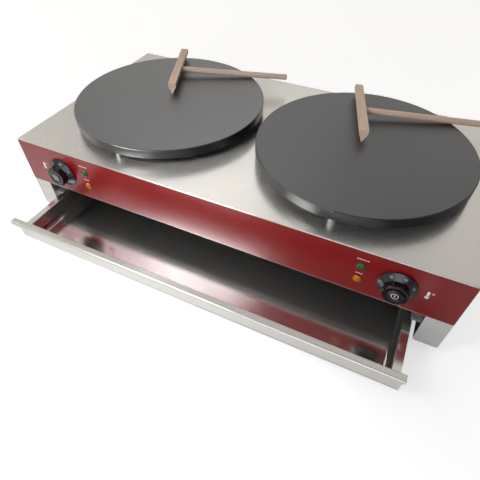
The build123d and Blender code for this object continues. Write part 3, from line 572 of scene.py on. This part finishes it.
def beech(name, start, along):
    """Bare beech with its grain along a stick."""
    material, shader = new_finish("Sanded beech " + name, {"IOR": 1.5, "Roughness": 0.55})
    place = add(material, "TexCoord")
    turn = along.to_track_quat("X", "Z").inverted()
    inputs = {"Vector": place.outputs["Object"], "Rotation": turn.to_euler()}
    lined = add(material, "Mapping", {**inputs, "Location": -(turn @ start)})
    pitch = [1 / size for size in GRAIN]
    drawn = add(material, "Mapping", {"Vector": lined.outputs[0], "Scale": pitch}).outputs[0]
    flecks = add(material, "TexNoise", {"Vector": drawn, "Scale": 1.0, "Detail": 4.0})
    bands = add(material, "TexNoise", {"Vector": drawn, "Scale": BAND_SCALE, "Detail": 2.0})
    tone = add(material, "ValToRGB", {"Fac": flecks.outputs["Fac"]})
    for stop, (noise, colour) in zip(tone.color_ramp.elements, BEECH_TONES):
        stop.position = noise
        stop.color = linear(colour)
    shades = {0: bands.outputs["Fac"], 6: tone.outputs[0], 7: linear(BAND_COLOUR)}
    tint = add(material, "Mix", shades, data_type="RGBA")
    link(material, tint.outputs[2], shader, "Base Color")
    inputs = {"Height": flecks.outputs["Fac"], "Strength": 0.3, "Distance": GRAIN_DEPTH}
    grain = add(material, "Bump", inputs)
    link(material, grain.outputs[0], shader, "Normal")
    return material


for name in SIDES:
    head_box, handle_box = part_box(f"spreader_head_{name}"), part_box(f"spreader_handle_{name}")
    head_run = head_box[1] - head_box[0]  # a thin bar runs nearly from corner to corner of its box
    bar_way = Vector((-head_run.x, head_run.y, 0)).normalized()
    handle_way = Vector((bar_way.y, -bar_way.x, 0))
    dress(beech(f"bar {name}", centre(head_box), bar_way), f"spreader_head_{name}")
    dress(beech(f"handle {name}", centre(handle_box), handle_way), f"spreader_handle_{name}")

# %% [markdown]
# ## Plastics and rubber
# The knobs are moulded in black urea resin, glossy on the grip and satin on the skirt that carries
# the dial. Holders and glands are duller nylon, and the feet are matt rubber. The switchgear
# inside is in pale resins. A mould leaves a fine grain on all of them, which varies the gloss and
# gives a very low bump.

# %% Plastics and rubber
MOULD_GRAIN, MOULD_RELIEF = 0.4 * MM, 0.02 * MM
RUBBER_GRAIN = 0.8 * MM
GLOSS_SPAN = (0.85, 1.15)  # the least and the most, as shares of the plastic's roughness


def mould_grain(material, shader, size):
    """Gives a moulding its grain, and returns the noise."""
    skin = even_noise(material, size)
    relief = add(material, "Bump", {"Height": skin, "Strength": 0.1, "Distance": MOULD_RELIEF})
    link(material, relief.outputs[0], shader, "Normal")
    return skin


def moulded(name, colour, roughness, grain=MOULD_GRAIN, coat=0.0):
    """A moulded plastic or rubber with a fine grain."""
    material, shader = new_finish(name, {"IOR": 1.5, "Coat Weight": coat, "Coat Roughness": 0.08})
    shader.inputs["Base Color"].default_value = linear(colour)
    skin = mould_grain(material, shader, grain)
    least, most = (share * roughness for share in GLOSS_SPAN)
    spread = add(material, "MapRange", {"Value": skin, "To Min": least, "To Max": most})
    link(material, spread.outputs[0], shader, "Roughness")
    return material


cap_resin = moulded("Black cap resin", "#101012", 0.25, coat=0.3)
seal_rubber = moulded("Matt black rubber", "#101010", 0.75, RUBBER_GRAIN)
dress(moulded("Black nylon", "#151516", 0.5), "cable_glands", "gland_locknuts", "lamp_holders")
dress(seal_rubber, "rubber_feet")
dress(moulded("Ivory resin", "#D9D2BC", 0.5), "thermostat_left", "thermostat_right")
dress(moulded("White polyamide", "#DCDAD2", 0.5), "terminal_block_left", "terminal_block_right")

# %% Knob resin
SKIRT_EDGE = (20.6 * MM, 21.4 * MM)  # from the knob's axis, where grip turns into skirt
# The skirt's blue tint is painted sheen, for the bluish sheen on its black resin.
GRIP_COLOUR, SKIRT_COLOUR_WITH_SHEEN = "#0B0B0D", "#0C1119"
GRIP_GLOSS, SKIRT_SATIN = (0.16, 0.24), (0.28, 0.36)  # roughness, least and most


def knob_resin(name, middle):
    """Black urea resin, glossy on the grip and satin on the skirt, whose blue tint is painted
    sheen.
    """
    material, shader = new_finish("Black urea resin " + name, {"IOR": 1.6})
    place = add(material, "TexCoord")
    shift = {"Vector": place.outputs["Object"], "Location": (-middle.x, 0, -middle.z)}
    centred = add(material, "Mapping", shift)
    flat = add(material, "VectorMath", {0: centred.outputs[0], 1: (1, 0, 1)}, operation="MULTIPLY")
    radius = add(material, "VectorMath", {0: flat.outputs[0]}, operation="LENGTH")
    edge = {"Value": radius.outputs["Value"], "From Min": SKIRT_EDGE[0], "From Max": SKIRT_EDGE[1]}
    skirt = add(material, "MapRange", edge).outputs[0]
    shades = {0: skirt, 6: linear(GRIP_COLOUR), 7: linear(SKIRT_COLOUR_WITH_SHEEN)}
    tint = add(material, "Mix", shades, data_type="RGBA")
    link(material, tint.outputs[2], shader, "Base Color")
    skin = mould_grain(material, shader, MOULD_GRAIN)
    grip, satin = (
        add(material, "MapRange", {"Value": skin, "To Min": least, "To Max": most}).outputs[0]
        for least, most in (GRIP_GLOSS, SKIRT_SATIN)
    )
    spread = add(material, "Mix", {0: skirt, 2: grip, 3: satin}, data_type="FLOAT")
    link(material, spread.outputs[0], shader, "Roughness")
    return material


for name in SIDES:
    dress(knob_resin(name, knob_centres[name]), f"knob_{name}")

# %% [markdown]
# ## Heaters and sheet inside
# Under the plates the heaters are steel tubes darkened by heat, pressed up by thin aluminised
# covers, and the sensors are drawn copper. They hardly show, but they are there.

# %% Heater metals
aluminised = [f"{part}_{name}" for part in ("heater_cover", "conduit") for name in SIDES]
dress(smooth_metal("Heat tinted steel tube", "#4A443F", 0.45), "heater_left", "heater_right")
dress(smooth_metal("Aluminised sheet", "#9C9C9A", 0.4), *aluminised)
dress(smooth_metal("Drawn copper", "#B87348", 0.3), "sensor_left", "sensor_right")

# %% [markdown]
# ## Lamp lenses
# Each lamp is a clear coloured moulding with small facets that throw the light about. The lamps
# are off and the holders behind them are dark, so the plastic lets only a little light through and
# its colour is deep, with a few bright glints. A pattern of cells gives the small facets as a bump,
# and colours them too: a painted glint in the middle of each and painted shade between them.

# %% Lamp lenses
FACET_SIZE, FACET_RELIEF = 2.6 * MM, 0.4 * MM


def lens(name, colour, facet_shade):
    """Coloured clear plastic with a painted glint mid facet and painted shade between facets."""
    looks = {"IOR": 1.5, "Roughness": 0.1, "Transmission Weight": 0.2}
    material, shader = new_finish(name, looks)
    place = add(material, "TexCoord")
    cells = {"Vector": place.outputs["Object"], "Scale": 1 / FACET_SIZE}
    facets = add(material, "TexVoronoi", cells).outputs["Distance"]
    # The cells paint a glint at each facet's middle and the darker colour as shade between facets.
    shades = {0: facets, 6: linear(colour), 7: linear(facet_shade)}
    tint = add(material, "Mix", shades, data_type="RGBA")
    link(material, tint.outputs[2], shader, "Base Color")
    relief = add(material, "Bump", {"Height": facets, "Strength": 0.4, "Distance": FACET_RELIEF})
    link(material, relief.outputs[0], shader, "Normal")
    return material


lens_plastics = {
    "green": lens("Green clear lens", "#008236", "#003314"),
    "amber": lens("Amber clear lens", "#FF9600", "#5A2A00"),
}
for colour, material in lens_plastics.items():
    dress(material, f"{colour}_lamp_left", f"{colour}_lamp_right")

# %% [markdown]
# ## Printed marks
# White ink is printed on the front: a thermometer beside each knob and a row of short dashes over
# each lamp. Grey ink gives each dial its figures from 0 to 300. A mark starts flat, in
# millimetres, from Blender's own grid, circle and type. It is then laid a tenth of a millimetre
# over the surface that carries it, so that it never sinks in.

# %% Flat shapes
ROUNDING = 0.49  # of a bar's width, because at a full half its corners would meet in one point
CORNER_STEPS, RING_STEPS = 6, 48


def edges_of(verts):
    """The edges at some points, each once and in a fixed order."""
    return list(dict.fromkeys(edge for vert in verts for edge in vert.link_edges))


def add_bar(mesh, width, height, at=(0, 0)):
    """Adds a bar with half round ends to a flat bmesh."""
    bar = bmesh.ops.create_grid(mesh, x_segments=1, y_segments=1, size=0.5)["verts"]
    bmesh.ops.scale(mesh, verts=bar, vec=(width, height, 1))
    bmesh.ops.translate(mesh, verts=bar, vec=(*at, 0))
    bmesh.ops.bevel(
        mesh,
        geom=bar,
        offset=ROUNDING * min(width, height),
        segments=CORNER_STEPS,
        profile=0.5,
        affect="VERTICES",
        material=-1,
    )


def add_ring(mesh, outer, inner, at=(0, 0), segments=RING_STEPS):
    """Adds a flat ring to a flat bmesh."""
    edges = []
    for radius in (outer, inner):
        rim = bmesh.ops.create_circle(mesh, segments=segments, radius=radius)["verts"]
        bmesh.ops.translate(mesh, verts=rim, vec=(*at, 0))
        edges += edges_of(rim)
    bmesh.ops.bridge_loops(mesh, edges=edges)


def add_cross(mesh, length, width):
    """Adds a cross with square ends to a flat bmesh."""
    square = bmesh.ops.create_grid(mesh, x_segments=1, y_segments=1, size=width / 2)["verts"]
    for edge in edges_of(square):
        out = (edge.verts[0].co + edge.verts[1].co).normalized() * (length - width) / 2
        arm = bmesh.ops.extrude_edge_only(mesh, edges=[edge])["geom"]
        tip = [part for part in arm if isinstance(part, bmesh.types.BMVert)]
        bmesh.ops.translate(mesh, verts=tip, vec=out)


print("flat bars, rings and crosses")

# %% Finished pieces
PRINT_LIFT = 0.1 * MM
FORWARD, BACKWARD, DOWN = (0, -1, 0), (0, 1, 0), (0, 0, -1)


def keep(name, mesh, material, body, smooth=False):
    """Makes a finished piece of a bmesh that is already in its place, riding on a body."""
    for face in mesh.faces:
        face.smooth = smooth
    data = bpy.data.meshes.new(name)
    mesh.to_mesh(data)
    mesh.free()
    data.materials.append(material)
    piece = bpy.data.objects.new(name, data)
    bpy.context.scene.collection.objects.link(piece)
    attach(piece, body)
    return piece


def wrong_way(face, way):
    """Whether a face looks away from a direction."""
    face.normal_update()
    return face.normal.dot(Vector(way)) < 0


def lay(name, mesh, place, way, material, body):
    """Lays a flat bmesh on a surface that faces way. place turns a flat point into the frame's."""
    for vert in mesh.verts:
        vert.co = place(vert.co)
    backs = [face for face in mesh.faces if face.calc_area() and wrong_way(face, way)]
    bmesh.ops.reverse_faces(mesh, faces=backs)
    return keep(name, mesh, material, body)


def on_front(middle, out=0.0):
    """Places flat millimetres on the front, about a point of it, out from the red plate."""
    y = front_y - out - PRINT_LIFT
    return lambda point: Vector((middle.x + point.x * MM, y, middle.z + point.y * MM))


print("marks lie", PRINT_LIFT / MM, "mm over their surface")

# %% Printing ink
SCREEN_GRAIN = 0.3 * MM


def ink(name, colour, thick):
    """Screen printed ink, half matt and a little uneven, paler where it lies thick."""
    material, shader = new_finish(name, {"IOR": 1.5})
    screen = even_noise(material, SCREEN_GRAIN)
    shades = {0: screen, 6: linear(colour), 7: linear(thick)}
    tint = add(material, "Mix", shades, data_type="RGBA")
    link(material, tint.outputs[2], shader, "Base Color")
    spread = add(material, "MapRange", {"Value": screen, "To Min": 0.4, "To Max": 0.6})
    link(material, spread.outputs[0], shader, "Roughness")
    return material


white_ink = ink("White printing ink", "#E8E8E6", "#FFFFFF")
dial_ink = ink("Grey printing ink", "#A9B0B8", "#BFC5CC")
print(white_ink.name, "and", dial_ink.name)

# %% Marks on the front
THERMOMETER_OUT = 47.3 * MM  # from the knob's middle, towards the end of the front
TUBE = (3.8, 13.0, (-2.3, 3.0))  # mm: width, height, middle
BULB = (6.6, 6.6, (-2.3, -4.0))
DEGREE = (1.8, 1.0, (4.2, 7.0))  # mm: outer and inner radius, middle
DASH = (2.9, 1.8)  # mm
DASH_PITCH = 4.1
DASHES = {"green": (5, 15.6), "amber": (3, 14.4)}  # how many, and mm over the lamp's middle

for name, side in SIDES.items():
    mark = bmesh.new()
    add_bar(mark, *TUBE)
    add_bar(mark, *BULB)
    add_ring(mark, *DEGREE, segments=24)
    middle = knob_centres[name] + Vector((side * THERMOMETER_OUT, 0, 0))
    lay(f"thermometer_mark_{name}", mark, on_front(middle), FORWARD, white_ink, "housing")
    for colour, (count, rise) in DASHES.items():
        row = bmesh.new()
        for i in range(count):
            add_bar(row, *DASH, at=((i - (count - 1) / 2) * DASH_PITCH, rise))
        middle = centre(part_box(f"{colour}_lamp_{name}"))
        lay(f"{colour}_lamp_dashes_{name}", row, on_front(middle), FORWARD, white_ink, "housing")
print("marks beside", len(SIDES), "knobs")

# %% [markdown]
# ## Dial figures
# The figures stand around each dial on a sloping skirt, with their tops outward, so each one is
# bent round the knob's axis and tilted to the slope. They ride on the knob and turn with it.

# %% Dial figures
DIAL_RADIUS = 25.5  # mm, where the figures stand
DIAL_FOOT = (30.5, 3.0)  # mm: radius, and height over the front, where the slope starts
DIAL_HEAD = (20.5, 10.0)  # and where it meets the grip
DIAL_FIGURES = [str(50 * i) for i in range(7)]
FIRST_ANGLE, ANGLE_STEP = -80.0, 47.5  # degrees clockwise from the top
FIGURE_SIZE = 4.6  # mm, Blender's text size, which makes a figure 3.2 mm tall


def figures(text):
    """A number in Blender's own plain typeface, as a flat bmesh about its middle."""
    curve = bpy.data.curves.new("figures", "FONT")
    curve.body = text
    curve.align_x, curve.align_y = "CENTER", "CENTER"
    curve.size = FIGURE_SIZE
    curve.resolution_u = 3
    holder = bpy.data.objects.new("figures", curve)
    flat = bpy.data.meshes.new_from_object(holder)
    mesh = bmesh.new()
    mesh.from_mesh(flat)
    bpy.data.objects.remove(holder)
    bpy.data.curves.remove(curve)
    bpy.data.meshes.remove(flat)
    return mesh


def on_dial(middle, angle):
    """Places flat millimetres on the slope of a dial, with their tops outward."""

    def place(point):
        radius = DIAL_RADIUS + point.y
        turn = angle + point.x / DIAL_RADIUS
        share = (DIAL_FOOT[0] - radius) / (DIAL_FOOT[0] - DIAL_HEAD[0])
        height = DIAL_FOOT[1] + share * (DIAL_HEAD[1] - DIAL_FOOT[1])
        out = Vector((radius * sin(turn), -height, radius * cos(turn))) * MM
        return Vector((middle.x, front_y - PRINT_LIFT, middle.z)) + out

    return place


for name in SIDES:
    for i, text in enumerate(DIAL_FIGURES):
        place = on_dial(knob_centres[name], radians(FIRST_ANGLE + i * ANGLE_STEP))
        lay(f"dial_{text}_{name}", figures(text), place, FORWARD, dial_ink, f"knob_{name}_body")
print(len(DIAL_FIGURES), "figures on each dial")

# %% [markdown]
# ## Knob caps
# The face of each knob holds a pressed in cap with a raised rim. A white ring with an upright bar
# is printed in its middle. The cap is a profile, drawn as radius and height, that is spun once
# around.

# %% Knob caps
CAP_PROFILE = ((0.0, 0.15), (9.6, 0.15), (10.4, 0.9), (11.2, 1.05), (12.0, 0.6), (12.2, -0.1))  # mm
CAP_FLOOR = CAP_PROFILE[0][1] * MM  # over the knob's face
RING_MARK = (5.7, 4.9)  # mm: outer and inner radius
RING_MARK_BAR = (1.2, 5.0)  # mm: width and height
SPIN_STEPS = 72
SAME_POINT = 0.001 * MM


def turned(profile, middle, way):
    """A bmesh spun from a profile in millimetres about an axis that starts at middle."""
    axis = Vector(way)
    aside = axis.orthogonal().normalized()
    mesh = bmesh.new()
    verts = [mesh.verts.new(Vector(middle) + (aside * r + axis * h) * MM) for r, h in profile]
    edges = [mesh.edges.new(pair) for pair in zip(verts, verts[1:])]
    bmesh.ops.spin(
        mesh,
        geom=verts + edges,
        cent=middle,
        axis=axis,
        angle=2 * pi,
        steps=SPIN_STEPS,
        use_merge=True,
    )
    bmesh.ops.remove_doubles(mesh, verts=mesh.verts[:], dist=SAME_POINT)
    bmesh.ops.recalc_face_normals(mesh, faces=mesh.faces[:])
    if sum(face.normal.dot(axis) * face.calc_area() for face in mesh.faces) < 0:
        bmesh.ops.reverse_faces(mesh, faces=mesh.faces[:])
    return mesh


for name in SIDES:
    body = f"knob_{name}_body"
    face = Vector((knob_centres[name].x, knob_boxes[name][0].y, knob_centres[name].z))
    cap = turned(CAP_PROFILE, face, FORWARD)
    keep(f"knob_cap_{name}", cap, cap_resin, body, smooth=True)
    mark = bmesh.new()
    add_ring(mark, *RING_MARK)
    add_bar(mark, *RING_MARK_BAR)
    place = on_front(face, front_y - face.y + CAP_FLOOR)
    lay(f"knob_ring_mark_{name}", mark, place, FORWARD, white_ink, body)
print("a cap on each of", len(SIDES), "knobs")

# %% [markdown]
# ## Cut lenses
# The lamps' lenses are moulded with large facets, like a cut stone, which the smooth solids don't
# show, so each lens here stands in for its whole solid. It is made of rings of points that get
# smaller towards the eye. Every second ring is turned by half a step, so that the faces between
# two rings are triangles. A plain stem goes back into the holder.

# %% Cut lenses
LENS_RINGS = ((7.4, 0.0), (7.4, 0.9), (6.5, 2.3), (4.4, 3.3), (1.9, 3.75))  # mm: radius, height
LENS_SIDES = 12
STEM_RADIUS = 4.6  # mm


def cut_lens(middle, stem_length):
    """A faceted lens on a stem, as a bmesh that faces the front of the machine."""
    mesh = bmesh.new()
    facing = Matrix.Translation(middle) @ Matrix.Rotation(pi / 2, 4, "X") @ Matrix.Scale(MM, 4)
    rings = ((STEM_RADIUS, -stem_length), (STEM_RADIUS, 0.0)) + LENS_RINGS
    last = []
    for i, (radius, height) in enumerate(rings):
        half_step = pi / LENS_SIDES * (i % 2)
        place = facing @ Matrix.Translation((0, 0, height)) @ Matrix.Rotation(half_step, 4, "Z")
        ring = bmesh.ops.create_circle(
            mesh,
            cap_ends=i in (0, len(rings) - 1),
            segments=LENS_SIDES,
            radius=radius,
            matrix=place,
        )["verts"]
        edges = edges_of(ring)
        if last:
            bmesh.ops.bridge_loops(mesh, edges=edges + last)
        last = edges
    bmesh.ops.triangulate(mesh, faces=mesh.faces[:])
    bmesh.ops.recalc_face_normals(mesh, faces=mesh.faces[:])
    return mesh


for colour, material in lens_plastics.items():
    for name in SIDES:
        node = f"{colour}_lamp_{name}"
        low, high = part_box(node)
        middle = Vector((centre((low, high)).x, front_y, centre((low, high)).z))
        mesh = cut_lens(middle, (high.y - front_y) / MM)
        lens_piece = keep(f"{colour}_cut_lens_{name}", mesh, material, "housing")
        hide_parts(node)
        print(lens_piece.name, len(lens_piece.data.polygons), "facets")

# %% [markdown]
# ## Screw slots
# The screws at the back and below have crossed slots. They are narrow and dark inside, so a flat
# cross in a shadowed black, laid just over each head, is enough. The heads are found as groups of
# points on the outermost face of the screws.

# %% Screw slots
SLOT = (3.6, 0.9)  # mm: length and width of each arm
SLOT_LIFT = PRINT_LIFT / 3  # nearer than ink, because a slot should look cut in
HEAD_SPACE = 10.0 * MM  # points nearer than this belong to one head
SAME_FACE = 0.05 * MM  # points within this of the outermost one are on the same face
SCREWS = (("back_screws", BACKWARD), ("base_screws", DOWN), ("foot_screws", DOWN))


def heads(node, way):
    """The middles of a node's screw heads, on their outer faces, seen along way."""
    points = [vertex.co for vertex in nodes[node].data.vertices]
    top = max(point.dot(way) for point in points)
    groups = []
    for point in points:
        if point.dot(way) < top - SAME_FACE:
            continue
        near = [group for group in groups if (group[0] - point).length < HEAD_SPACE]
        if near:
            near[0].append(point)
        else:
            groups.append([point])
    return [sum(group, Vector()) / len(group) for group in groups]


def on_head(middle, way):
    """Places flat millimetres on a screw's head that faces way."""
    turn = way.to_track_quat("Z", "Y").to_matrix()
    return lambda point: middle + turn @ (point * MM) + way * SLOT_LIFT


slot_black = moulded("Shadowed slot", "#1A1A1A", 0.6)
for node, way in SCREWS:
    middles = heads(node, Vector(way))
    for i, middle in enumerate(middles, 1):
        cross = bmesh.new()
        add_cross(cross, *SLOT)
        place = on_head(middle, Vector(way))
        lay(f"{node}_slot_{i}", cross, place, way, slot_black, "housing")
    print(node, len(middles), "heads")

# %% [markdown]
# ## Cable seals
# Each cable gland at the back holds a soft rubber ring that closes round the mains cable. The ring
# is spun from a profile, as the caps are, and stands a little back from the gland's mouth.

# %% Cable seals
SEAL_PROFILE = ((3.0, -4.0), (3.0, -1.0), (3.4, -0.5), (4.1, -0.5), (4.4, -0.9), (4.4, -4.0))  # mm

gland_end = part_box("cable_glands")[1].y
points = [vertex.co for vertex in nodes["cable_glands"].data.vertices]
noses = [point for point in points if point.y > gland_end - SAME_FACE]
for name, side in SIDES.items():
    nose = [point for point in noses if point.x * side > 0]
    middle = sum(nose, Vector()) / len(nose)
    seal = turned(SEAL_PROFILE, middle, BACKWARD)
    keep(f"cable_seal_{name}", seal, seal_rubber, "housing", smooth=True)
    print("seal at", [round(v, 3) for v in middle])
